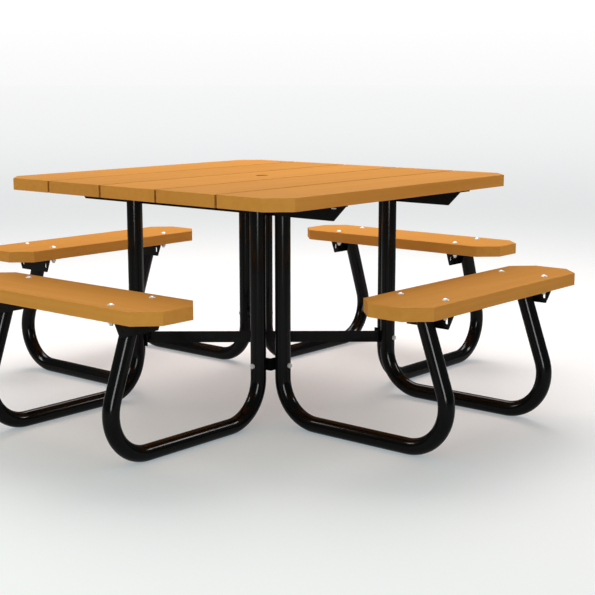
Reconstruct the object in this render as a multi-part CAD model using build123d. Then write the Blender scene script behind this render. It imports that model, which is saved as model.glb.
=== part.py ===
from build123d import *

import os
from math import atan2, cos, degrees, radians, sin, tan

# Square picnic table with four attached benches.
# Origin: on the ground under the middle of the top. +Z is up, the top planks run along Y.
# Each bench side is drawn once, facing +X, and turned about Z to its place.

# ---- Driving dimensions, millimetres ----

# Lumber
PLANK_WIDTH = 235.0
PLANK_THICK = 38.0
PLANK_GAP = 8.5
TOP_PLANKS = 5
TOP_HEIGHT = 742.0
SEAT_HEIGHT = 462.0
SEAT_LENGTH = 906.0
SEAT_MIDDLE = 840.7         # from the table's centre to the middle of a seat plank
CORNER_CUT = 62.0           # each cut corner, measured along both edges
PLANK_EDGE = 1.5            # eased edges of the lumber
UMBRELLA_BORE = 41.0

# Bent tube legs
TUBE_OD = 48.3
TUBE_WALL = 3.2
POST_OUT = 326.5            # post to the table's centre, along the leg's own plane
POST_SIDE = 273.0           # plane of the leg to the table's centre line
BEND_RADIUS = 130.0         # to the tube's centre line, both bends
RISER_LEAN = 19.5           # degrees from upright, leaning in towards the table

# Steel angle
ANGLE = 50.0
ANGLE_THICK = 5.0
BRACKET_TOP = 180.0         # length of the seat bracket along the seat's underside
BRACKET_BOTTOM = 139.0      # length of its lower edge, between the slanted ends
SLOT_SPACING = 127.0
SLOT_WIDTH = 9.0
SLOT_HEIGHT = 20.0
SLOT_DROP = 26.0            # middle of the slots below the seat
BEAM_BOTTOM = 1088.0        # lower edge of a top beam, between its 45 degree ends

# Cross brace
BRACE_HEIGHT = 193.0        # middle of the bars above the ground
BRACE_DEPTH = 38.0
BRACE_THICK = 6.0
BRACE_END_SIDE = 257.0      # where a bar's end meets its clip, from the centre line
LAP_PLAY = 0.4

# Fasteners
BOLT = 9.5
BOLT_HOLE = 10.3
HEX = 14.3                  # across the flats of heads and nuts
HEX_CHAMFER = 0.8           # height of the chamfer on their corners
HEX_HEAD = 6.4
NUT_HEIGHT = 8.4
NUT_PLAY = 0.1
BOLT_END = 5.0              # thread showing past a nut
DOME_HEAD = 20.6
DOME_HEIGHT = 5.0
SEAT_BOLT_SPACING = 152.0
SCREW = 8.0
SCREW_DEPTH = 28.0
SCREW_SPACING = 152.0
SCREW_TIP_PLAY = 1.0        # left free above the tip of each screw
BEAM_BOLT_DROP = 27.0       # beam bolts below the planks

OVERCUT = 1.0               # how far a cutting tool runs past a face

# ---- Worked out from the above ----

TOP_SIDE = TOP_PLANKS * PLANK_WIDTH + (TOP_PLANKS - 1) * PLANK_GAP
TOP_UNDER = TOP_HEIGHT - PLANK_THICK
SEAT_UNDER = SEAT_HEIGHT - PLANK_THICK
TUBE_R = TUBE_OD / 2
POST_IN = POST_OUT - TUBE_R         # inner side of the outer posts, where the clips sit
BEAM_WEB = (POST_SIDE + POST_OUT) / 2
BEAM_FLANGE = BEAM_WEB - ANGLE_THICK / 2 + ANGLE / 2
POST_TOP = TOP_UNDER - ANGLE_THICK
RISER_TOP = SEAT_UNDER - ANGLE_THICK
HEX_CORNER = HEX / 2 / cos(radians(30))     # radius of a hexagon's corners

SIDES = {"right": 0, "back": 90, "left": 180, "front": 270}
HANDS = {1: -1, 2: 1}


# ---- Small helpers ----

def block(x0, x1, y0, y1, z0, z1):
    """A box between two corners."""
    place = Location(((x0 + x1) / 2, (y0 + y1) / 2, (z0 + z1) / 2))
    return place * Box(x1 - x0, y1 - y0, z1 - z0)


def rod(start, direction, length, diameter):
    """A round bar from a start point along a direction."""
    plane = Plane(origin=start, z_dir=direction)
    return extrude(plane * Circle(diameter / 2), length)


def hexagon(start, direction, length, bore=0.0):
    """A hexagonal head or nut, its corners chamfered, from a start point along a direction."""
    outline = RegularPolygon(HEX / 2, 6, major_radius=False)
    if bore:
        outline = outline - Circle(bore / 2)
    rim = HEX_CORNER - HEX_CHAMFER / tan(radians(30))
    half_section = Polygon((0, 0), (rim, 0), (HEX_CORNER, HEX_CHAMFER),
                           (HEX_CORNER, length - HEX_CHAMFER), (rim, length), (0, length), align=None)
    turned_blank = revolve(Plane.XZ * half_section, Axis.Z)
    return Plane(origin=start, z_dir=direction) * (extrude(outline, length) & turned_blank)


def upright_hole(x, y, low, depth, diameter):
    """The tool that cuts an upright hole through a thickness that starts at a height."""
    return rod((x, y, low - OVERCUT), (0, 0, 1), depth + 2 * OVERCUT, diameter)


def along(point, direction, distance):
    """The point at a distance along a unit direction."""
    return tuple(p + d * distance for p, d in zip(point, direction))


def turned(shape, side):
    return Rot(0, 0, SIDES[side]) * shape


def bench_spots():
    """Each leg of the table: its side's name, its number and its plane's place."""
    return [(side, number, hand * POST_SIDE) for side in SIDES for number, hand in HANDS.items()]


def eased(plank):
    """A plank with all its outer edges slightly rounded."""
    return fillet(plank.edges(), PLANK_EDGE)


# ---- Lumber ----

def plank_centre(number):
    return (number - (TOP_PLANKS + 1) / 2) * (PLANK_WIDTH + PLANK_GAP)


def screw_places(number):
    """Where the screws enter one top plank from below."""
    rows = (-BEAM_FLANGE, BEAM_FLANGE)
    columns = (plank_centre(number) - SCREW_SPACING / 2, plank_centre(number) + SCREW_SPACING / 2)
    return [(x, y) for x in columns for y in rows]


def top_plank(number):
    middle = plank_centre(number)
    half = TOP_SIDE / 2
    left, right = middle - PLANK_WIDTH / 2, middle + PLANK_WIDTH / 2
    if number == 1:
        outline = Polygon((left + CORNER_CUT, -half), (right, -half), (right, half),
                          (left + CORNER_CUT, half), (left, half - CORNER_CUT),
                          (left, -half + CORNER_CUT), align=None)
    elif number == TOP_PLANKS:
        outline = Polygon((left, -half), (right - CORNER_CUT, -half), (right, -half + CORNER_CUT),
                          (right, half - CORNER_CUT), (right - CORNER_CUT, half),
                          (left, half), align=None)
    else:
        outline = Pos(middle, 0) * Rectangle(PLANK_WIDTH, TOP_SIDE)
    plank = eased(extrude(Pos(0, 0, TOP_UNDER) * outline, PLANK_THICK))
    if middle == 0:
        plank -= upright_hole(0, 0, TOP_UNDER, PLANK_THICK, UMBRELLA_BORE)
    for x, y in screw_places(number):
        plank -= rod((x, y, TOP_UNDER - OVERCUT), (0, 0, 1), SCREW_DEPTH + OVERCUT, SCREW)
    return plank


def seat_bolt_places():
    """Where the bolts pass through the +X seat."""
    columns = (SEAT_MIDDLE - SEAT_BOLT_SPACING / 2, SEAT_MIDDLE + SEAT_BOLT_SPACING / 2)
    return [(x, y) for x in columns for y in (-POST_SIDE, POST_SIDE)]


def seat_plank():
    outline = Pos(SEAT_MIDDLE, 0) * Rectangle(PLANK_WIDTH, SEAT_LENGTH)
    outline = chamfer(outline.vertices(), CORNER_CUT)
    plank = eased(extrude(Pos(0, 0, SEAT_UNDER) * outline, PLANK_THICK))
    for x, y in seat_bolt_places():
        plank -= upright_hole(x, y, SEAT_UNDER, PLANK_THICK, BOLT_HOLE)
    return plank


# ---- Bent tube legs ----

def leg_path():
    """Centre line of a leg: post, bend, ground runner, sharper bend, leaning riser."""
    lean = radians(RISER_LEAN)
    low = TUBE_R
    bend_z = low + BEND_RADIUS
    rise = RISER_TOP - bend_z
    bend_out = SEAT_MIDDLE + rise * tan(lean) - BEND_RADIUS / cos(lean)
    riser_start = (bend_out + BEND_RADIUS * cos(lean), bend_z + BEND_RADIUS * sin(lean))
    over = TUBE_OD
    riser_end = (SEAT_MIDDLE - over * tan(lean), RISER_TOP + over)
    first = BEND_RADIUS * (1 - sin(radians(45)))
    middle_angle = (lean - radians(90)) / 2
    path = Polyline((POST_OUT, POST_TOP), (POST_OUT, bend_z))
    path += ThreePointArc((POST_OUT, bend_z), (POST_OUT + first, low + first),
                          (POST_OUT + BEND_RADIUS, low))
    path += Line((POST_OUT + BEND_RADIUS, low), (bend_out, low))
    path += ThreePointArc((bend_out, low),
                          (bend_out + BEND_RADIUS * cos(middle_angle),
                           bend_z + BEND_RADIUS * sin(middle_angle)), riser_start)
    path += Line(riser_start, riser_end)
    return path


def leg(place):
    """One leg of the +X side, in the plane y = place."""
    upright = Plane(origin=(0, place, 0), x_dir=(1, 0, 0), z_dir=(0, -1, 0))
    path = upright * leg_path()
    ring = Plane(origin=(POST_OUT, place, POST_TOP), z_dir=(0, 0, -1)) * Circle(TUBE_R)
    bore = Plane(origin=(POST_OUT, place, POST_TOP), z_dir=(0, 0, -1)) * Circle(TUBE_R - TUBE_WALL)
    tube = sweep(ring, path=path) - sweep(bore, path=path)
    tube -= block(SEAT_MIDDLE - 2 * TUBE_OD, SEAT_MIDDLE + 2 * TUBE_OD, place - TUBE_OD,
                  place + TUBE_OD, RISER_TOP, RISER_TOP + 2 * TUBE_OD)
    return tube


def drilled_leg(side, place):
    """A leg in its final place, with its brace bolt hole and its beam bolt hole."""
    tube = leg(place)
    tube -= rod((POST_OUT - TUBE_OD, place, BRACE_HEIGHT), (1, 0, 0), 2 * TUBE_OD, BOLT_HOLE)
    tube = turned(tube, side)
    x, y = post_place(side, place)
    hole_z = TOP_UNDER - BEAM_BOLT_DROP
    return tube - rod((x, y - TUBE_OD, hole_z), (0, 1, 0), 2 * TUBE_OD, BOLT_HOLE)


def post_place(side, place):
    """Plan position of a leg's post."""
    turn = radians(SIDES[side])
    x = POST_OUT * cos(turn) - place * sin(turn)
    y = POST_OUT * sin(turn) + place * cos(turn)
    return x, y


# ---- Seat brackets, top beams and cross brace ----

def seat_bracket(place):
    """An angle across the +X seat, its web against the tube and its ends slanted."""
    web_in = place + TUBE_R
    web_out = web_in + ANGLE_THICK
    left, right = SEAT_MIDDLE - BRACKET_TOP / 2, SEAT_MIDDLE + BRACKET_TOP / 2
    low_left, low_right = SEAT_MIDDLE - BRACKET_BOTTOM / 2, SEAT_MIDDLE + BRACKET_BOTTOM / 2
    side_view = Plane(origin=(0, web_out, 0), x_dir=(1, 0, 0), z_dir=(0, -1, 0))
    web = Polygon((left, SEAT_UNDER), (right, SEAT_UNDER), (low_right, SEAT_UNDER - ANGLE),
                  (low_left, SEAT_UNDER - ANGLE), align=None)
    for x in (SEAT_MIDDLE - SLOT_SPACING / 2, SEAT_MIDDLE + SLOT_SPACING / 2):
        slot = SlotOverall(SLOT_HEIGHT, SLOT_WIDTH, rotation=90)
        web -= Pos(x, SEAT_UNDER - SLOT_DROP) * slot
    bracket = extrude(side_view * web, ANGLE_THICK, dir=(0, -1, 0))
    bracket += block(left, right, web_out - ANGLE, web_out, RISER_TOP, SEAT_UNDER)
    for x, y in seat_bolt_places():
        if y == place:
            bracket -= upright_hole(x, y, RISER_TOP, ANGLE_THICK, BOLT_HOLE)
    return bracket


def top_beam(hand):
    """An angle under the top, web down between the posts and flange pointing outwards."""
    half = BEAM_BOTTOM / 2
    web_face = BEAM_WEB + ANGLE_THICK / 2
    side_view = Plane(origin=(0, web_face, 0), x_dir=(1, 0, 0), z_dir=(0, -1, 0))
    web = Polygon((-half - ANGLE, TOP_UNDER), (half + ANGLE, TOP_UNDER), (half, TOP_UNDER - ANGLE),
                  (-half, TOP_UNDER - ANGLE), align=None)
    beam = extrude(side_view * web, ANGLE_THICK, dir=(0, -1, 0))
    flange_in = web_face - ANGLE_THICK
    flange = block(-half - ANGLE, half + ANGLE, flange_in, flange_in + ANGLE, POST_TOP, TOP_UNDER)
    beam += flange
    for number in range(1, TOP_PLANKS + 1):
        for x, y in screw_places(number):
            if y > 0:
                beam -= upright_hole(x, y, POST_TOP, ANGLE_THICK, BOLT_HOLE)
    for x in (POST_OUT, POST_SIDE, -POST_OUT, -POST_SIDE):
        start = (x, flange_in - OVERCUT, TOP_UNDER - BEAM_BOLT_DROP)
        beam -= rod(start, (0, 1, 0), ANGLE_THICK + 2 * OVERCUT, BOLT_HOLE)
    return beam if hand > 0 else Rot(0, 0, 180) * beam


def brace_clip():
    """A short upright angle in the +X +Y corner, between that corner's two posts."""
    low, high = BRACE_HEIGHT - BRACE_DEPTH / 2, BRACE_HEIGHT + BRACE_DEPTH / 2
    near, far = POST_IN - ANGLE, POST_IN
    clip = block(near, far, far - ANGLE_THICK, far, low, high)
    clip += block(far - ANGLE_THICK, far, near, far, low, high)
    clip -= rod((far - 2 * ANGLE_THICK, POST_SIDE, BRACE_HEIGHT), (1, 0, 0), 3 * ANGLE_THICK, BOLT_HOLE)
    clip -= rod((POST_SIDE, far - 2 * ANGLE_THICK, BRACE_HEIGHT), (0, 1, 0), 3 * ANGLE_THICK, BOLT_HOLE)
    return clip


def brace_bar(number):
    """A flat bar on edge between opposite clips, half lapped where the two bars cross."""
    reach = POST_IN - ANGLE_THICK
    swing = degrees(atan2(BRACE_END_SIDE, reach))
    uncut = 3 * reach
    bar = Rot(0, 0, swing) * Box(uncut, BRACE_THICK, BRACE_DEPTH)
    bar &= Box(2 * reach, uncut, BRACE_DEPTH)
    notch = Rot(0, 0, swing) * Box(BRACE_THICK + LAP_PLAY, 2 * BRACE_THICK, BRACE_DEPTH / 2)
    lift = BRACE_DEPTH / 4 if number == 1 else -BRACE_DEPTH / 4
    bar -= Pos(0, 0, lift) * notch
    turn = 0 if number == 1 else 90
    return Pos(0, 0, BRACE_HEIGHT) * Rot(0, 0, turn) * bar


# ---- Fasteners ----

def hex_bolt(start, direction, grip):
    """A hex bolt: head behind the start point, shank through the grip and its nut."""
    head = hexagon(along(start, direction, -HEX_HEAD), direction, HEX_HEAD)
    shank = rod(start, direction, grip + NUT_HEIGHT + BOLT_END, BOLT)
    return head + shank


def hex_nut(start, direction, grip):
    """The nut at the far end of a bolt's grip."""
    return hexagon(along(start, direction, grip), direction, NUT_HEIGHT, BOLT + NUT_PLAY)


def carriage_bolt(x, y):
    """A dome headed bolt that stands on the seat and points down."""
    sphere_r = (DOME_HEAD ** 2 / 4 + DOME_HEIGHT ** 2) / (2 * DOME_HEIGHT)
    dome = Pos(x, y, SEAT_HEIGHT + DOME_HEIGHT - sphere_r) * Sphere(sphere_r)
    dome &= block(x - DOME_HEAD, x + DOME_HEAD, y - DOME_HEAD, y + DOME_HEAD,
                  SEAT_HEIGHT, SEAT_HEIGHT + DOME_HEIGHT)
    length = PLANK_THICK + ANGLE_THICK + NUT_HEIGHT + BOLT_END
    return dome + rod((x, y, SEAT_HEIGHT), (0, 0, -1), length, BOLT)


def seat_fasteners():
    bolts, nuts = [], []
    for side in SIDES:
        for x, y in seat_bolt_places():
            bolts.append(turned(carriage_bolt(x, y), side))
            nut = hexagon((x, y, RISER_TOP), (0, 0, -1), NUT_HEIGHT, BOLT + NUT_PLAY)
            nuts.append(turned(nut, side))
    return bolts, nuts


def brace_fasteners():
    """Bolts from each post's outer side through the tube and the clip behind it."""
    bolts, nuts = [], []
    grip = TUBE_OD + ANGLE_THICK
    for side, _, place in bench_spots():
        start = (POST_OUT + TUBE_R, place, BRACE_HEIGHT)
        bolts.append(turned(hex_bolt(start, (-1, 0, 0), grip), side))
        nuts.append(turned(hex_nut(start, (-1, 0, 0), grip), side))
    return bolts, nuts


def beam_fasteners():
    """Bolts along Y through each post and the beam web beside it."""
    bolts, nuts = [], []
    hole_z = TOP_UNDER - BEAM_BOLT_DROP
    for side, _, place in bench_spots():
        x, y = post_place(side, place)
        web = BEAM_WEB if y > 0 else -BEAM_WEB
        towards_web = 1 if web > y else -1
        grip = abs(web - y) + TUBE_R + ANGLE_THICK / 2
        start = (x, y - towards_web * TUBE_R, hole_z)
        bolts.append(hex_bolt(start, (0, towards_web, 0), grip))
        nuts.append(hex_nut(start, (0, towards_web, 0), grip))
    return bolts, nuts


def plank_screws():
    """Hex head screws up through the beam flanges into the planks."""
    screws = []
    for number in range(1, TOP_PLANKS + 1):
        for x, y in screw_places(number):
            head = hexagon((x, y, POST_TOP - HEX_HEAD), (0, 0, 1), HEX_HEAD)
            length = ANGLE_THICK + SCREW_DEPTH - SCREW_TIP_PLAY
            screws.append(head + rod((x, y, POST_TOP), (0, 0, 1), length, SCREW))
    return screws


# ---- Nodes ----

def model():
    """Every node of the table by name."""
    nodes = {}
    for number in range(1, TOP_PLANKS + 1):
        nodes[f"top_plank_{number}"] = top_plank(number)
    seat = seat_plank()
    for side in SIDES:
        nodes[f"seat_plank_{side}"] = turned(seat, side)
    for side, number, place in bench_spots():
        nodes[f"leg_{side}_{number}"] = drilled_leg(side, place)
        nodes[f"seat_bracket_{side}_{number}"] = turned(seat_bracket(place), side)
    nodes["top_beam_back"] = top_beam(1)
    nodes["top_beam_front"] = top_beam(-1)
    for corner in range(4):
        nodes[f"brace_clip_{corner + 1}"] = Rot(0, 0, 90 * corner) * brace_clip()
    for number in (1, 2):
        nodes[f"brace_bar_{number}"] = brace_bar(number)
    groups = {"seat": seat_fasteners(), "brace": brace_fasteners(), "beam": beam_fasteners()}
    for name, (bolts, nuts) in groups.items():
        nodes[f"{name}_bolts"] = Compound(children=bolts)
        nodes[f"{name}_nuts"] = Compound(children=nuts)
    nodes["plank_screws"] = Compound(children=plank_screws())
    return nodes


os.makedirs("parts", exist_ok=True)
for name, shape in model().items():
    export_step(shape, f"parts/{name}.step")
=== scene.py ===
"""Looks of a square picnic table with four benches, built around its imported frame."""

from math import atan2, cos, radians, tau

import bpy
from mathutils import Matrix, Vector


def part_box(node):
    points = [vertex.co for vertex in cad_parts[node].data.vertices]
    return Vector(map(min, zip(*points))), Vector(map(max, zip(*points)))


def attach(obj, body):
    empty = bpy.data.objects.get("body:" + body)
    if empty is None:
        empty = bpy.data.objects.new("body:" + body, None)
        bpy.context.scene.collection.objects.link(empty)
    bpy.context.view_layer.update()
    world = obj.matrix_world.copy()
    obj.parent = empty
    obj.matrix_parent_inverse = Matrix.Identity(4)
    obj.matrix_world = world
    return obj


bl_info = {
    "name": "Picnic Table",
    "version": (1, 0, 0),
    "blender": (4, 5, 0),
    "location": "3D View > Sidebar > Picnic Table",
    "description": "Finishes, welds, bolt threads and studio of a square picnic table",
    "category": "Object",
}

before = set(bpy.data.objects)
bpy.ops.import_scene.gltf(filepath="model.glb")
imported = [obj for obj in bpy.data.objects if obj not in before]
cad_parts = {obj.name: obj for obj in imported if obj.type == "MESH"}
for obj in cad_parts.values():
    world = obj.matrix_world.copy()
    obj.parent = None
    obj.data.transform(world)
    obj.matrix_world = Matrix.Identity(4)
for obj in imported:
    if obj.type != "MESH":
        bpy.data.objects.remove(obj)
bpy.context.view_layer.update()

SIDES = ("right", "back", "left", "front")
LUMBER_NODES = [f"top_plank_{number}" for number in range(1, 6)]
LUMBER_NODES += [f"seat_plank_{side}" for side in SIDES]
LEG_NODES = [f"leg_{side}_{number}" for side in SIDES for number in (1, 2)]
BRACKET_NODES = [f"seat_bracket_{side}_{number}" for side in SIDES for number in (1, 2)]
BEAM_NODES = ["top_beam_back", "top_beam_front"]
BRACE_NODES = [f"brace_clip_{corner}" for corner in range(1, 5)] + ["brace_bar_1", "brace_bar_2"]
FASTENER_NODES = ["seat_bolts", "seat_nuts", "brace_bolts", "brace_nuts",
                  "beam_bolts", "beam_nuts", "plank_screws"]


# ---- Places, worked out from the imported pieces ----

X, Y, Z = range(3)


def low(name, axis):
    """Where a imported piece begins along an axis, to the micrometre."""
    return round(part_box(name)[0][axis], 6)


def high(name, axis):
    """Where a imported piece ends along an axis, to the micrometre."""
    return round(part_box(name)[1][axis], 6)


def middle(name, axis):
    """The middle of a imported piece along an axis."""
    return (low(name, axis) + high(name, axis)) / 2


# The right side stands for all four. Its X points out from the table's centre.
TOP_HALF = high("top_plank_5", X)
SEAT_MIDDLE = middle("seat_plank_right", X)
LEG_PLANES = (middle("leg_right_1", Y), middle("leg_right_2", Y))
TUBE_RADIUS = (high("leg_right_1", Y) - low("leg_right_1", Y)) / 2
POST_OUT = low("leg_right_1", X) + TUBE_RADIUS          # middle of a post
BRACKET_UNDER = high("seat_nuts", Z)                    # underside of the seat brackets' flanges
FLANGE_START = low("seat_bracket_right_1", Y) - LEG_PLANES[0]   # from the middle of its tube
NUT_HEIGHT = high("seat_nuts", Z) - low("seat_nuts", Z)
THREAD_SHOWN = low("seat_nuts", Z) - low("seat_bolts", Z)       # bolt end past its nut
BRACE_HEIGHT = middle("brace_bar_1", Z)
BRACE_DEPTH = high("brace_bar_1", Z) - low("brace_bar_1", Z)
CLIP_FACE = high("brace_bar_1", X)                      # inner face of a clip, where a bar ends
STEEL_THICK = high("brace_clip_1", X) - CLIP_FACE
BEAM_WEB = low("top_beam_back", Y) + STEEL_THICK / 2    # middle of a beam's web
BEAM_BOLT_HEIGHT = middle("beam_bolts", Z)

# Sizes of the same design that no box gives, in metres.
RISER_LEAN = radians(19.5)
BRACE_THICK = 0.006
BRACE_END_SIDE = 0.257          # where a bar meets its clip, from the centre line
SEAT_BOLT_REACH = 0.076         # a seat bolt's place on either side of the seat's middle
SHANK_RADIUS = 0.00475
QUARTERS = [Matrix.Rotation(tau * quarter / 4, 4, "Z") for quarter in range(4)]

# ---- Settings ----

class LumberSettings(bpy.types.PropertyGroup):
    """Colours and texture of the plastic lumber."""
    face: bpy.props.FloatVectorProperty(
        name="Face", description="Main colour of the planks", subtype="COLOR",
        default=(0.665, 0.282, 0.057), min=0, max=1)
    streak: bpy.props.FloatVectorProperty(
        name="Streak", description="Colour of the faint lengthwise streaks", subtype="COLOR",
        default=(0.59, 0.235, 0.038), min=0, max=1)
    streak_amount: bpy.props.FloatProperty(
        name="Streak amount", description="How strongly the streaks show",
        default=0.45, min=0, max=1, subtype="FACTOR")
    board_change: bpy.props.FloatProperty(
        name="Board to board", description="How much one board's tone differs from the next",
        default=0.06, min=0, max=0.5, subtype="FACTOR")
    # gap_shade sets how strong the painted shade is on the walls of the gaps between the top planks.
    gap_shade: bpy.props.FloatProperty(
        name="Gap shade", description="How dark the grime is on the walls of the gaps in the top",
        default=0.4, min=0, max=1, subtype="FACTOR")
    grain_depth: bpy.props.FloatProperty(
        name="Grain depth", description="Height of the fine moulded grain",
        default=0.00025, min=0, max=0.002, unit="LENGTH")
    roughness: bpy.props.FloatProperty(
        name="Roughness", description="Roughness of the moulded skin",
        default=0.58, min=0, max=1, subtype="FACTOR")


class CoatSettings(bpy.types.PropertyGroup):
    """The powder coat of the steel frame."""
    colour: bpy.props.FloatVectorProperty(
        name="Colour", description="Colour of the powder coat", subtype="COLOR",
        default=(0.0022, 0.0022, 0.0022), min=0, max=1)
    roughness: bpy.props.FloatProperty(
        name="Roughness", description="Roughness of the gloss coat",
        default=0.12, min=0, max=1, subtype="FACTOR")
    peel_size: bpy.props.FloatProperty(
        name="Peel size", description="Width of the coat's faint ripples",
        default=0.006, min=0.001, max=0.05, unit="LENGTH")
    peel_depth: bpy.props.FloatProperty(
        name="Peel depth", description="Height of the coat's faint ripples",
        default=0.00002, min=0, max=0.001, unit="LENGTH")


class ZincSettings(bpy.types.PropertyGroup):
    """The plating of the bolts, nuts and screws."""
    colour: bpy.props.FloatVectorProperty(
        name="Colour", description="Colour of the zinc plate", subtype="COLOR",
        default=(0.86, 0.86, 0.85), min=0, max=1)
    dull: bpy.props.FloatVectorProperty(
        name="Dull colour", description="Colour of the duller patches", subtype="COLOR",
        default=(0.68, 0.68, 0.675), min=0, max=1)
    roughness: bpy.props.FloatProperty(
        name="Roughness", description="Roughness of the plate",
        default=0.42, min=0, max=1, subtype="FACTOR")


class WeldSettings(bpy.types.PropertyGroup):
    """The welds that hold the seat brackets on the tubes, and the brace bars on their clips."""
    bead: bpy.props.FloatProperty(
        name="Bead size", description="Radius of a weld bead",
        default=0.0032, min=0.001, max=0.01, unit="LENGTH")
    line: bpy.props.FloatProperty(
        name="Line size", description="Radius of the beads at the ends of the brace bars",
        default=0.002, min=0.0005, max=0.01, unit="LENGTH")
    ripple: bpy.props.FloatProperty(
        name="Ripple", description="Height of the ripples along a bead",
        default=0.0007, min=0, max=0.003, unit="LENGTH")


class ThreadSettings(bpy.types.PropertyGroup):
    """The threads on the ends of the bolts."""
    pitch: bpy.props.FloatProperty(
        name="Pitch", description="Distance from one thread crest to the next",
        default=0.0016, min=0.0005, max=0.005, unit="LENGTH")
    crest: bpy.props.FloatProperty(
        name="Crest", description="How far a thread crest stands out from the shank",
        default=0.0004, min=0, max=0.002, unit="LENGTH")


class StageSettings(bpy.types.PropertyGroup):
    """Floor, lights and camera."""
    floor: bpy.props.FloatVectorProperty(
        name="Floor", description="Colour of the floor", subtype="COLOR",
        default=(0.83, 0.755, 0.72), min=0, max=1)
    floor_glow: bpy.props.FloatVectorProperty(
        name="Floor glow", description="Light the floor gives off, so that its shadows stay pale and grey",
        subtype="COLOR", default=(0.165, 0.20, 0.225), min=0, max=1)
    floor_in_gloss: bpy.props.FloatProperty(
        name="Floor in the gloss", description="How bright the floor is where a glossy face mirrors it",
        default=0.5, min=0, max=1, subtype="FACTOR")
    sky: bpy.props.FloatVectorProperty(
        name="Fill light", description="Colour of the light from all round", subtype="COLOR",
        default=(0.93, 1.0, 1.0), min=0, max=1)
    sky_strength: bpy.props.FloatProperty(
        name="Fill strength", description="Strength of the light from all round",
        default=0.44, min=0, max=10)
    gloss_strength: bpy.props.FloatProperty(
        name="Room in the gloss", description="How bright the room is where a glossy face mirrors it",
        default=0.10, min=0, max=10)
    fade_distance: bpy.props.FloatProperty(
        name="Fade distance", description="How fast the floor passes into white away from the table",
        default=6.0, min=0.1, unit="LENGTH")
    fade_amount: bpy.props.FloatProperty(
        name="Fade amount", description="How white the floor is far away",
        default=0.75, min=0, max=1, subtype="FACTOR")
    far_amount: bpy.props.FloatProperty(
        name="Far fade amount", description="How much whiter the floor is at the horizon",
        default=0.12, min=0, max=1, subtype="FACTOR")
    key_power: bpy.props.FloatProperty(
        name="Key power", description="Power of the large overhead light",
        default=160.0, min=0, max=5000, unit="POWER")
    front_power: bpy.props.FloatProperty(
        name="Front fill power", description="Power of the weak light from the camera's side",
        default=21.0, min=0, max=500, unit="POWER")
    strip_power: bpy.props.FloatProperty(
        name="Strip power", description="Power of the largest light that only draws lines on the gloss",
        default=96.0, min=0, max=500, unit="POWER")
    camera_place: bpy.props.FloatVectorProperty(
        name="Camera place", description="Where the camera stands", subtype="TRANSLATION",
        default=(2.7723, -3.1048, 1.0604), unit="LENGTH")
    camera_heading: bpy.props.FloatProperty(
        name="Camera heading", description="Turn of the camera about the upright, from +Y",
        default=radians(40.13), subtype="ANGLE", unit="ROTATION")
    camera_dip: bpy.props.FloatProperty(
        name="Camera dip", description="How far the camera looks down",
        default=radians(9.98), subtype="ANGLE", unit="ROTATION")
    lens: bpy.props.FloatProperty(
        name="Lens", description="Focal length on a 36 mm sensor",
        default=75.33, min=10, max=300, unit="CAMERA")


# ---- Node helpers ----

def add_node(tree, kind, **inputs):
    """A node of a kind with its inputs set or linked. Underscores in names stand for spaces."""
    node = tree.nodes.new(kind)
    for name, value in inputs.items():
        plug_in(tree, node.inputs[name.replace("_", " ")], value)
    return node


def plug_in(tree, socket, value):
    """Links a socket's source, or sets its value."""
    if isinstance(value, bpy.types.NodeSocket):
        tree.links.new(value, socket)
    elif hasattr(value, "__len__") and socket.type == "RGBA":
        socket.default_value = (*value[:3], 1.0)
    else:
        socket.default_value = value


def maths(tree, operation, *values):
    """The result of a Math node."""
    node = tree.nodes.new("ShaderNodeMath")
    node.operation = operation
    for socket, value in zip(node.inputs, values):
        plug_in(tree, socket, value)
    return node.outputs[0]


def blend_colours(tree, factor, first, second):
    """One colour passing into another."""
    node = tree.nodes.new("ShaderNodeMix")
    node.data_type = "RGBA"
    plug_in(tree, node.inputs[0], factor)
    plug_in(tree, node.inputs[6], first)
    plug_in(tree, node.inputs[7], second)
    return node.outputs[2]


def spread(tree, value, start, end, to_start=0.0, to_end=1.0):
    """A value stretched from one range to another, and held inside it."""
    node = add_node(tree, "ShaderNodeMapRange", Value=value, From_Min=start, From_Max=end,
                    To_Min=to_start, To_Max=to_end)
    return node.outputs[0]


def new_group(name, inputs, outputs):
    """An empty shader group. Each socket is (name, kind, default)."""
    tree = bpy.data.node_groups.new(name, "ShaderNodeTree")
    for label, kind, default in inputs:
        socket = tree.interface.new_socket(label, in_out="INPUT", socket_type=f"NodeSocket{kind}")
        if default is not None:
            socket.default_value = default
    for label, kind in outputs:
        tree.interface.new_socket(label, in_out="OUTPUT", socket_type=f"NodeSocket{kind}")
    return tree, tree.nodes.new("NodeGroupInput").outputs, tree.nodes.new("NodeGroupOutput").inputs


def use_group(tree, name, **inputs):
    """A shader group placed in a material with its own values."""
    node = tree.nodes.new("ShaderNodeGroup")
    node.node_tree = bpy.data.node_groups[name]
    for label, value in inputs.items():
        plug_in(tree, node.inputs[label.replace("_", " ")], value)
    return node.outputs


def new_material(name):
    """An empty material with its shader and the object's own coordinates."""
    material = bpy.data.materials.new(name)
    material.use_nodes = True
    tree = material.node_tree
    shader = tree.nodes["Principled BSDF"]
    place = tree.nodes.new("ShaderNodeTexCoord").outputs["Object"]
    return material, tree, shader, place


# ---- Shared effects ----

def noise(tree, place, scale, detail=2.0, roughness=0.5):
    """The strength of a noise pattern at a place."""
    return add_node(tree, "ShaderNodeTexNoise", Vector=place, Scale=scale, Detail=detail,
                    Roughness=roughness).outputs[0]


def make_mottle_group():
    """Soft patches, for the slight changes of tone in a moulded or plated skin."""
    tree, given, result = new_group(
        "Mottle", [("Place", "Vector", None), ("Patch size", "Float", 0.05),
                   ("Amount", "Float", 0.5)], [("Mask", "Float")])
    patches = noise(tree, given["Place"], maths(tree, "DIVIDE", 1.0, given["Patch size"]), 3.0)
    tree.links.new(maths(tree, "MULTIPLY", spread(tree, patches, 0.35, 0.65), given["Amount"]),
                   result["Mask"])


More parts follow.
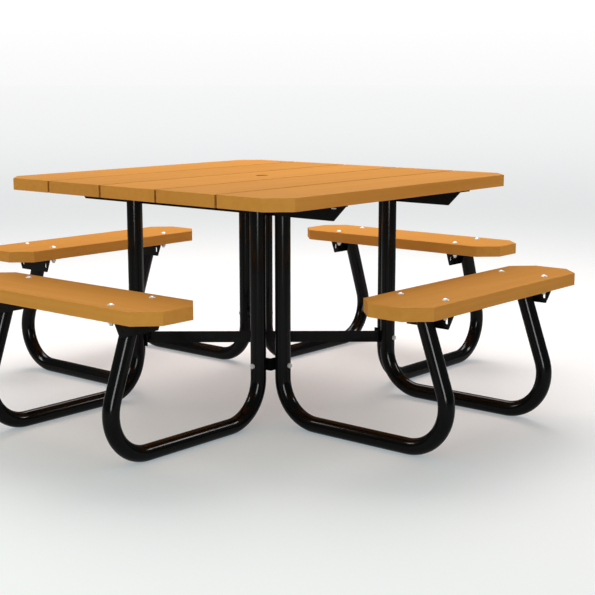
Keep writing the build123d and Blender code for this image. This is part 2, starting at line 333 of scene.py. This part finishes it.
def make_ripple_group():
    """The fine uneven skin of a sprayed or plated surface, as a height and a mask."""
    tree, given, result = new_group(
        "Skin ripple", [("Place", "Vector", None), ("Ripple size", "Float", 0.005),
                        ("Depth", "Float", 0.0001)], [("Height", "Float"), ("Mask", "Float")])
    broad = noise(tree, given["Place"], maths(tree, "DIVIDE", 1.0, given["Ripple size"]), 1.0)
    fine = noise(tree, given["Place"], maths(tree, "DIVIDE", 3.3, given["Ripple size"]), 1.0)
    both = maths(tree, "ADD", maths(tree, "MULTIPLY", broad, 0.75), maths(tree, "MULTIPLY", fine, 0.25))
    tree.links.new(both, result["Mask"])
    tree.links.new(maths(tree, "MULTIPLY", both, given["Depth"]), result["Height"])


def make_edge_group():
    """A mask of the places where a surface bends sharply, for worn edges."""
    tree, given, result = new_group(
        "Edge wear", [("Sharpness", "Float", 0.5)], [("Mask", "Float")])
    pointiness = tree.nodes.new("ShaderNodeNewGeometry").outputs["Pointiness"]
    top = maths(tree, "SUBTRACT", 0.62, maths(tree, "MULTIPLY", given["Sharpness"], 0.1))
    tree.links.new(spread(tree, pointiness, 0.51, top), result["Mask"])


# ---- Materials ----

ALONG_GRAIN = 0.035             # scale along a board's length, which draws the grain out
STREAK_SCALE = 42.0             # waves per metre
GRAIN_SCALE = 900.0
FLECK_SCALE = 1400.0
WALL_FACING = 0.9               # how squarely a face looks along X to count as a gap's wall
EDGE_MARGIN = 0.003             # the top's outer edges stay clean
PAINTED_SHADE_TONE = 0.3                # brightness of the painted shade on the walls of the gaps, beside a streak's
BOARD_TONES = (0.2, -0.5, 0.6, -0.2, 0.1, -0.6, 0.3, -0.3, 0.0)
BOARD_SHIFT = (7, 13)           # times its tone, this moves each board to its own part of the grain
DUST_TONE = 2.2                 # brightness of the dull patches beside the coat's
WORN_TONE = 4.0                 # and of the worn edges


def bump(tree, height, strength=1.0):
    """A normal from a height in metres."""
    return add_node(tree, "ShaderNodeBump", Strength=strength, Distance=1.0,
                    Height=height).outputs[0]


def gap_mask(tree, place):
    """The upright walls of the gaps in the top, which get painted shade. They face X and lie short of its
    outer edges.
    """
    facing = tree.nodes.new("ShaderNodeNewGeometry").outputs["Normal"]
    turned = maths(tree, "ABSOLUTE", add_node(tree, "ShaderNodeSeparateXYZ", Vector=facing).outputs["X"])
    out = maths(tree, "ABSOLUTE", add_node(tree, "ShaderNodeSeparateXYZ", Vector=place).outputs["X"])
    return maths(tree, "MULTIPLY", maths(tree, "GREATER_THAN", turned, WALL_FACING),
                 maths(tree, "LESS_THAN", out, TOP_HALF - EDGE_MARGIN))


def lumber_material(name, along, tone):
    """Plastic lumber with its grain along "X" or "Y". The tone makes a board darker or lighter."""
    settings = bpy.context.scene.table_lumber
    material, tree, shader, place = new_material(name)
    stretch = {"X": (ALONG_GRAIN, 1.0, 1.0), "Y": (1.0, ALONG_GRAIN, 1.0)}[along]
    grain_place = add_node(tree, "ShaderNodeMapping", Vector=place, Scale=stretch,
                           Location=(tone * BOARD_SHIFT[0], tone * BOARD_SHIFT[1], 0)).outputs[0]
    streaks = spread(tree, noise(tree, grain_place, STREAK_SCALE, 5.0, 0.62), 0.38, 0.66)
    grain = noise(tree, grain_place, GRAIN_SCALE, 3.0, 0.6)
    mottle = use_group(tree, "Mottle", Place=place, Patch_size=0.16, Amount=0.35)["Mask"]
    streak_part = maths(tree, "MULTIPLY", maths(tree, "ADD", streaks, mottle),
                        settings.streak_amount)
    scale = 1.0 + settings.board_change * tone
    face = tuple(channel * scale for channel in settings.face)
    streak = tuple(channel * scale for channel in settings.streak)
    body = blend_colours(tree, streak_part, face, streak)
    fleck = spread(tree, noise(tree, place, FLECK_SCALE, 1.0), 0.66, 0.78, 0.0, 0.22)
    colour = blend_colours(tree, fleck, body, settings.streak)
    # Painted shade: the walls of the gaps between the top planks are darkened towards a dark streak
    # colour, standing in for the shade that falls between the planks.
    if name.startswith("lumber_top"):
        painted_shade = tuple(channel * PAINTED_SHADE_TONE for channel in settings.streak)
        walls = maths(tree, "MULTIPLY", gap_mask(tree, place), settings.gap_shade)
        colour = blend_colours(tree, walls, colour, painted_shade)
    plug_in(tree, shader.inputs["Base Color"], colour)
    rough = maths(tree, "ADD", settings.roughness - 0.06, maths(tree, "MULTIPLY", grain, 0.12))
    plug_in(tree, shader.inputs["Roughness"], rough)
    height = maths(tree, "MULTIPLY", grain, settings.grain_depth)
    plug_in(tree, shader.inputs["Normal"], bump(tree, height, 0.5))
    shader.inputs["Specular IOR Level"].default_value = 0.02
    return material


def coat_material():
    """Gloss black powder coat with a faint orange peel and slightly duller patches."""
    settings = bpy.context.scene.table_coat
    material, tree, shader, place = new_material("black_powder_coat")
    ripple = use_group(tree, "Skin ripple", Place=place, Ripple_size=settings.peel_size,
                       Depth=settings.peel_depth)
    mottle = use_group(tree, "Mottle", Place=place, Patch_size=0.09, Amount=0.5)["Mask"]
    wear = use_group(tree, "Edge wear", Sharpness=0.4)["Mask"]
    dusted = tuple(channel * DUST_TONE for channel in settings.colour)
    colour = blend_colours(tree, maths(tree, "MULTIPLY", mottle, 0.6), settings.colour, dusted)
    edge = tuple(channel * WORN_TONE for channel in settings.colour)
    plug_in(tree, shader.inputs["Base Color"],
            blend_colours(tree, maths(tree, "MULTIPLY", wear, 0.4), colour, edge))
    rough = maths(tree, "ADD", settings.roughness, maths(tree, "MULTIPLY", mottle, 0.07))
    plug_in(tree, shader.inputs["Roughness"], rough)
    plug_in(tree, shader.inputs["Normal"], bump(tree, ripple["Height"]))
    shader.inputs["Specular IOR Level"].default_value = 0.22
    return material


def zinc_material():
    """Bright zinc plate with duller clouding and a fine uneven skin."""
    settings = bpy.context.scene.table_zinc
    material, tree, shader, place = new_material("bright_zinc")
    mottle = use_group(tree, "Mottle", Place=place, Patch_size=0.004, Amount=0.8)["Mask"]
    ripple = use_group(tree, "Skin ripple", Place=place, Ripple_size=0.0016, Depth=0.00002)
    plug_in(tree, shader.inputs["Base Color"],
            blend_colours(tree, mottle, settings.colour, settings.dull))
    rough = maths(tree, "ADD", settings.roughness, maths(tree, "MULTIPLY", mottle, 0.15))
    plug_in(tree, shader.inputs["Roughness"], rough)
    plug_in(tree, shader.inputs["Normal"], bump(tree, ripple["Height"]))
    shader.inputs["Metallic"].default_value = 0.6
    return material


def paint(nodes, material):
    """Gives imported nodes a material."""
    for name in nodes:
        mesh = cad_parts[name].data
        mesh.materials.clear()
        mesh.materials.append(material)


# ---- Modelling helpers ----

SMOOTH_UNDER = radians(40)      # edges sharper than this stay crisp


def begin_edit():
    """Edit mode on the active piece, with everything on it selected."""
    bpy.ops.object.mode_set(mode="EDIT")
    bpy.ops.mesh.select_all(action="SELECT")


def select_only(pieces):
    """Selects these pieces, with the first one active."""
    bpy.ops.object.select_all(action="DESELECT")
    for piece in pieces:
        piece.select_set(True)
    bpy.context.view_layer.objects.active = pieces[0]


def placed_copies(pattern, places):
    """Copies of a piece, each with its own mesh moved by a matrix. The pattern itself goes."""
    copies = []
    for place in places:
        select_only([pattern])
        bpy.ops.object.duplicate()
        copy = bpy.context.active_object
        copy.data.transform(place)
        copies.append(copy)
    bpy.data.objects.remove(pattern)
    return copies


def finish_group(copies, name, material):
    """Joins like pieces into one that rides on the table and takes a slot's finish."""
    select_only(copies)
    bpy.ops.object.join()
    piece = bpy.context.active_object
    piece.name = name
    begin_edit()
    bpy.ops.mesh.normals_make_consistent(inside=False)
    bpy.ops.object.mode_set(mode="OBJECT")
    bpy.ops.object.shade_smooth_by_angle(angle=SMOOTH_UNDER)
    piece.data.materials.append(bpy.data.materials[material])
    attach(piece, "root")


# ---- Welds and threads ----

TIP_LENGTH = 0.0002             # how far a modelled tip covers the plain one
TIP_SIZE = 0.86                 # width of a tip beside the rod's
ROD_SIDES = 24
BEAD_RINGS = 96                 # rings of vertices round a bead
BEAD_SIDES = 8                  # vertices on each ring
RIPPLE_STEP = 3                 # every third ring stands out
BEAD_FLATNESS = 0.8             # height of a bead beside its width
MERGE_DISTANCE = 0.00005
RIPPLE_SPACING = 4              # distance between a straight bead's ripples, in ripple heights


def weld_ring(settings):
    """A rippled bead round the top of a leaning tube, cut off where the flange above it ends."""
    bpy.ops.object.select_all(action="DESELECT")
    bpy.ops.mesh.primitive_torus_add(
        location=(0, 0, 0), major_segments=BEAD_RINGS, minor_segments=BEAD_SIDES,
        major_radius=TUBE_RADIUS, minor_radius=settings.bead)
    ring = bpy.context.active_object
    crests = [index // BEAD_SIDES % RIPPLE_STEP == 0 for index in range(BEAD_RINGS * BEAD_SIDES)]
    bpy.ops.object.mode_set(mode="EDIT")
    bpy.ops.mesh.select_all(action="DESELECT")
    bpy.ops.object.mode_set(mode="OBJECT")
    ring.data.vertices.foreach_set("select", crests)
    bpy.ops.object.mode_set(mode="EDIT")
    bpy.ops.transform.shrink_fatten(value=settings.ripple)
    bpy.ops.mesh.select_all(action="SELECT")
    bpy.ops.transform.resize(value=(1 / cos(RISER_LEAN), 1, BEAD_FLATNESS), center_override=(0, 0, 0))
    bpy.ops.mesh.bisect(plane_co=(0, FLANGE_START, 0), plane_no=(0, 1, 0), clear_inner=True)
    bpy.ops.mesh.select_all(action="SELECT")
    bpy.ops.mesh.remove_doubles(threshold=MERGE_DISTANCE)
    bpy.ops.mesh.delete_loose()
    bpy.ops.mesh.select_all(action="SELECT")
    bpy.ops.mesh.fill_holes(sides=0)
    bpy.ops.object.mode_set(mode="OBJECT")
    return ring


def ribbed_rod(radius, length, pitch, crest):
    """A round rod from the origin along +Z, with ribs at a pitch and a narrower tip."""
    bpy.ops.object.select_all(action="DESELECT")
    bpy.ops.mesh.primitive_circle_add(
        vertices=ROD_SIDES, radius=radius, fill_type="NGON", location=(0, 0, 0))
    rod = bpy.context.active_object
    begin_edit()
    half_pitch = pitch / 2
    growth = (radius + crest) / radius
    steps = int(length / half_pitch)
    for step in range(steps):
        bpy.ops.mesh.extrude_region_move(TRANSFORM_OT_translate={"value": (0, 0, half_pitch)})
        factor = growth if step % 2 == 0 else 1 / growth
        bpy.ops.transform.resize(value=(factor, factor, 1))
    left = length - steps * half_pitch + TIP_LENGTH
    bpy.ops.mesh.extrude_region_move(TRANSFORM_OT_translate={"value": (0, 0, left)})
    bpy.ops.transform.resize(value=(TIP_SIZE, TIP_SIZE, 1))
    bpy.ops.object.mode_set(mode="OBJECT")
    return rod


def brace_weld_places():
    """Both sides of each brace bar's end, at the foot of its corner with the clip."""
    half_end = BRACE_THICK / 2 / cos(atan2(BRACE_END_SIDE, CLIP_FACE))
    foot = BRACE_HEIGHT - BRACE_DEPTH / 2
    sides = [Matrix.Translation((CLIP_FACE, BRACE_END_SIDE + hand * half_end, foot))
             for hand in (-1, 1)]
    return [quarter @ side for quarter in QUARTERS for side in sides]


def pointing(start, direction):
    """The matrix that stands a piece on a point and turns its Z to a direction."""
    turn = Vector((0, 0, 1)).rotation_difference(Vector(direction)).to_matrix().to_4x4()
    return Matrix.Translation(start) @ turn


def thread_places():
    """Where every bolt comes out of its nut."""
    places = []
    for quarter in QUARTERS:
        for plane in LEG_PLANES:
            for reach in (-SEAT_BOLT_REACH, SEAT_BOLT_REACH):
                start = (SEAT_MIDDLE + reach, plane, BRACKET_UNDER - NUT_HEIGHT)
                places.append(quarter @ pointing(start, (0, 0, -1)))
            start = (CLIP_FACE - NUT_HEIGHT, plane, BRACE_HEIGHT)
            places.append(quarter @ pointing(start, (-1, 0, 0)))
            post = quarter @ Vector((POST_OUT, plane, BEAM_BOLT_HEIGHT))
            web = BEAM_WEB if post.y > 0 else -BEAM_WEB
            towards = 1 if web > post.y else -1
            post.y = web + towards * (STEEL_THICK / 2 + NUT_HEIGHT)
            places.append(pointing(post, (0, towards, 0)))
    return places


# ---- Operators ----

class TABLE_OT_effects(bpy.types.Operator):
    """Make the shader groups that the finishes share"""
    bl_idname = "table.effects"
    bl_label = "Shared effects"

    def execute(self, context):
        make_mottle_group()
        make_ripple_group()
        make_edge_group()
        return {"FINISHED"}


class TABLE_OT_lumber(bpy.types.Operator):
    """Finish the nine planks as plastic lumber, each board a little different"""
    bl_idname = "table.lumber"
    bl_label = "Plastic lumber"

    def execute(self, context):
        for name, tone in zip(LUMBER_NODES, BOARD_TONES):
            length = high(name, X) - low(name, X)
            along = "X" if length > high(name, Y) - low(name, Y) else "Y"
            paint([name], lumber_material(f"lumber_{name}", along, tone))
        return {"FINISHED"}


class TABLE_OT_steel(bpy.types.Operator):
    """Finish the legs, brackets, beams and brace in gloss black powder coat"""
    bl_idname = "table.steel"
    bl_label = "Powder coated steel"

    def execute(self, context):
        coat = coat_material()
        paint(LEG_NODES + BRACKET_NODES + BEAM_NODES + BRACE_NODES, coat)
        return {"FINISHED"}


class TABLE_OT_welds(bpy.types.Operator):
    """Run weld beads round the tops of the risers and down the ends of the brace bars"""
    bl_idname = "table.welds"
    bl_label = "Welds"

    def execute(self, context):
        settings = context.scene.table_weld
        ring = weld_ring(settings)
        tops = [Matrix.Translation((SEAT_MIDDLE, plane, BRACKET_UNDER)) for plane in LEG_PLANES]
        copies = placed_copies(ring, [quarter @ top for quarter in QUARTERS for top in tops])
        finish_group(copies, "seat_welds", "black_powder_coat")
        line = ribbed_rod(settings.line, BRACE_DEPTH - TIP_LENGTH,
                          RIPPLE_SPACING * settings.ripple, settings.ripple / 2)
        finish_group(placed_copies(line, brace_weld_places()), "brace_welds",
                     "black_powder_coat")
        return {"FINISHED"}


class TABLE_OT_threads(bpy.types.Operator):
    """Add the threads that show past the nuts"""
    bl_idname = "table.threads"
    bl_label = "Bolt threads"

    def execute(self, context):
        settings = context.scene.table_thread
        end = ribbed_rod(SHANK_RADIUS, THREAD_SHOWN, settings.pitch, settings.crest)
        finish_group(placed_copies(end, thread_places()), "bolt_threads", "bright_zinc")
        return {"FINISHED"}


class TABLE_OT_fasteners(bpy.types.Operator):
    """Finish the bolts, nuts and screws in bright zinc"""
    bl_idname = "table.fasteners"
    bl_label = "Zinc plated fasteners"

    def execute(self, context):
        paint(FASTENER_NODES, zinc_material())
        return {"FINISHED"}


class TABLE_OT_stage(bpy.types.Operator):
    """Set the table on a pale floor in soft light, with a camera"""
    bl_idname = "table.stage"
    bl_label = "Studio"

    def execute(self, context):
        settings = context.scene.table_stage
        make_floor(settings)
        make_fill_light(settings)
        make_lights(settings)
        make_camera(settings)
        return {"FINISHED"}


# ---- Stage ----

FAR_FADE = 10.0                 # the second fade of the floor is this much slower
FLOOR_SIZE = 400.0
FLOOR_CLOUD = 0.97              # darkest tone of the floor's faint cloud
HORIZON_GLOW = 0.95             # brightness of the backdrop at the horizon
UPPER_GLOW = 1.03               # and of the backdrop above it
GLOW_RISE = 0.06                # how steeply up a view looks, from 0 to 1, where that is reached
LIGHT_TARGET = (0.0, 0.0, 0.4)  # what the lights face
FRONT_COLOUR = (0.62, 1.0, 0.8)
STRIPS = {"front_strip": ((3.5, -4.1, 1.05), (1.3, 2.0)),
          "right_strip": ((2.4, 2.3, 2.2), (0.5, 1.5)),
          "left_strip": ((-2.4, -2.3, 2.2), (0.5, 1.5))}
FULL_STRIP_AREA = 2.6           # a strip of this area, in square metres, has the full strip power


def mix_shaders(tree, factor, first, second):
    """One shader passing into another."""
    node = add_node(tree, "ShaderNodeMixShader", Fac=factor)
    tree.links.new(first, node.inputs[1])
    tree.links.new(second, node.inputs[2])
    return node.outputs[0]


def fade_out(tree, away, distance, amount):
    """How white the floor is away from the table, and the fall from 1 to 0 that this comes from."""
    fall = maths(tree, "EXPONENT", maths(tree, "DIVIDE", away, -distance))
    return maths(tree, "MULTIPLY", maths(tree, "SUBTRACT", 1.0, fall), amount), fall


def make_floor(settings):
    """A wide flat floor that passes into white, and that glossy faces mirror more darkly."""
    bpy.ops.object.select_all(action="DESELECT")
    bpy.ops.mesh.primitive_plane_add(size=FLOOR_SIZE, location=(0, 0, 0))
    floor = bpy.context.active_object
    floor.name = "floor"
    material, tree, shader, place = new_material("studio_floor")
    dim = tuple(channel * FLOOR_CLOUD for channel in settings.floor)
    plug_in(tree, shader.inputs["Base Color"],
            blend_colours(tree, noise(tree, place, 0.8, 3.0), dim, settings.floor))
    shader.inputs["Roughness"].default_value = 0.9
    shader.inputs["Specular IOR Level"].default_value = 0.0
    shader.inputs["Emission Color"].default_value = (*settings.floor_glow, 1.0)
    shader.inputs["Emission Strength"].default_value = 1.0
    length = add_node(tree, "ShaderNodeVectorMath", Vector=place)
    length.operation = "LENGTH"
    away = length.outputs["Value"]
    near_fade, near_fall = fade_out(tree, away, settings.fade_distance, settings.fade_amount)
    far_fade, _ = fade_out(tree, away, FAR_FADE * settings.fade_distance, settings.far_amount)
    glow = add_node(tree, "ShaderNodeEmission", Color=(1, 1, 1), Strength=1.0)
    whiteness = maths(tree, "ADD", near_fade, far_fade)
    faded = mix_shaders(tree, whiteness, shader.outputs[0], glow.outputs[0])
    mirrored = tree.nodes.new("ShaderNodeLightPath").outputs["Is Glossy Ray"]
    share = maths(tree, "MULTIPLY", near_fall, settings.floor_in_gloss)
    dimming = maths(tree, "MULTIPLY", mirrored, maths(tree, "SUBTRACT", 1.0, share))
    dark = add_node(tree, "ShaderNodeEmission", Strength=0.0)
    seen = mix_shaders(tree, dimming, faded, dark.outputs[0])
    tree.links.new(seen, tree.nodes["Material Output"].inputs["Surface"])
    floor.data.materials.append(material)


def make_fill_light(settings):
    """An even pale light from all round, behind a white backdrop."""
    world = bpy.data.worlds.new("studio_light")
    bpy.context.scene.world = world
    world.use_nodes = True
    tree = world.node_tree
    seen = tree.nodes.new("ShaderNodeLightPath").outputs
    to_camera = seen["Is Camera Ray"]
    fill = settings.sky_strength
    upward = add_node(tree, "ShaderNodeSeparateXYZ",
                      Vector=tree.nodes.new("ShaderNodeTexCoord").outputs["Generated"]).outputs["Z"]
    backdrop = spread(tree, upward, 0.0, GLOW_RISE, HORIZON_GLOW, UPPER_GLOW)
    to_eye = maths(tree, "MULTIPLY", to_camera, maths(tree, "SUBTRACT", backdrop, fill))
    to_gloss = maths(tree, "MULTIPLY", seen["Is Glossy Ray"], settings.gloss_strength - fill)
    background = tree.nodes["Background"]
    plug_in(tree, background.inputs["Color"],
            blend_colours(tree, to_camera, settings.sky, (1, 1, 1)))
    plug_in(tree, background.inputs["Strength"],
            maths(tree, "ADD", fill, maths(tree, "ADD", to_eye, to_gloss)))


def add_area_light(name, place, size, power):
    """A rectangular light at a place, facing the table."""
    data = bpy.data.lights.new(name, "AREA")
    data.shape = "RECTANGLE"
    data.size, data.size_y = size
    data.energy = power
    light = bpy.data.objects.new(name, data)
    bpy.context.scene.collection.objects.link(light)
    light.location = place
    light.rotation_mode = "QUATERNION"
    light.rotation_quaternion = (Vector(LIGHT_TARGET) - Vector(place)).to_track_quat("-Z", "Y")
    return light


def make_lights(settings):
    """A broad light overhead, a weak fill in front, and three that only draw lines on the tubes."""
    add_area_light("key_light", (-1.2, 1.5, 3.8), (3.5, 3.5), settings.key_power)
    front = add_area_light("front_fill", (1.5, -3.6, 1.3), (1.6, 1.2), settings.front_power)
    front.data.color = FRONT_COLOUR
    front.visible_glossy = False
    for name, (place, size) in STRIPS.items():
        share = size[0] * size[1] / FULL_STRIP_AREA
        strip = add_area_light(name, place, size, settings.strip_power * share)
        strip.visible_diffuse = False


def make_camera(settings):
    """The camera, with colours shown as they are."""
    data = bpy.data.cameras.new("camera")
    data.sensor_width = 36.0
    data.lens = settings.lens
    data.clip_end = 200.0
    camera = bpy.data.objects.new("camera", data)
    bpy.context.scene.collection.objects.link(camera)
    camera.location = settings.camera_place
    camera.rotation_euler = (radians(90) - settings.camera_dip, 0.0, settings.camera_heading)
    bpy.context.scene.camera = camera
    bpy.context.scene.view_settings.view_transform = "Standard"


# ---- Panel and registration ----

SETTINGS = {"table_lumber": LumberSettings, "table_coat": CoatSettings,
            "table_zinc": ZincSettings, "table_weld": WeldSettings,
            "table_thread": ThreadSettings, "table_stage": StageSettings}
STEPS = (TABLE_OT_effects, TABLE_OT_lumber, TABLE_OT_steel, TABLE_OT_fasteners,
         TABLE_OT_welds, TABLE_OT_threads, TABLE_OT_stage)


class TABLE_PT_panel(bpy.types.Panel):
    """Lists the steps and their settings"""
    bl_idname = "TABLE_PT_panel"
    bl_label = "Picnic Table"
    bl_space_type = "VIEW_3D"
    bl_region_type = "UI"
    bl_category = "Picnic Table"

    def draw(self, context):
        for step in STEPS:
            self.layout.operator(step.bl_idname)
        for name, group in SETTINGS.items():
            box = self.layout.box()
            for key in group.__annotations__:
                box.prop(getattr(context.scene, name), key)


def register():
    """Adds the settings, the operators and the panel to Blender."""
    for name, group in SETTINGS.items():
        bpy.utils.register_class(group)
        setattr(bpy.types.Scene, name, bpy.props.PointerProperty(type=group))
    for cls in (*STEPS, TABLE_PT_panel):
        bpy.utils.register_class(cls)


def unregister():
    """Takes them out again."""
    for cls in (TABLE_PT_panel, *reversed(STEPS)):
        bpy.utils.unregister_class(cls)
    for name, group in SETTINGS.items():
        delattr(bpy.types.Scene, name)
        bpy.utils.unregister_class(group)


def main():
    """Builds the whole table and its studio."""
    register()
    bpy.ops.table.effects()
    bpy.ops.table.lumber()
    bpy.ops.table.steel()
    bpy.ops.table.fasteners()
    bpy.ops.table.welds()
    bpy.ops.table.threads()
    bpy.ops.table.stage()


if __name__ == "__main__":
    main()
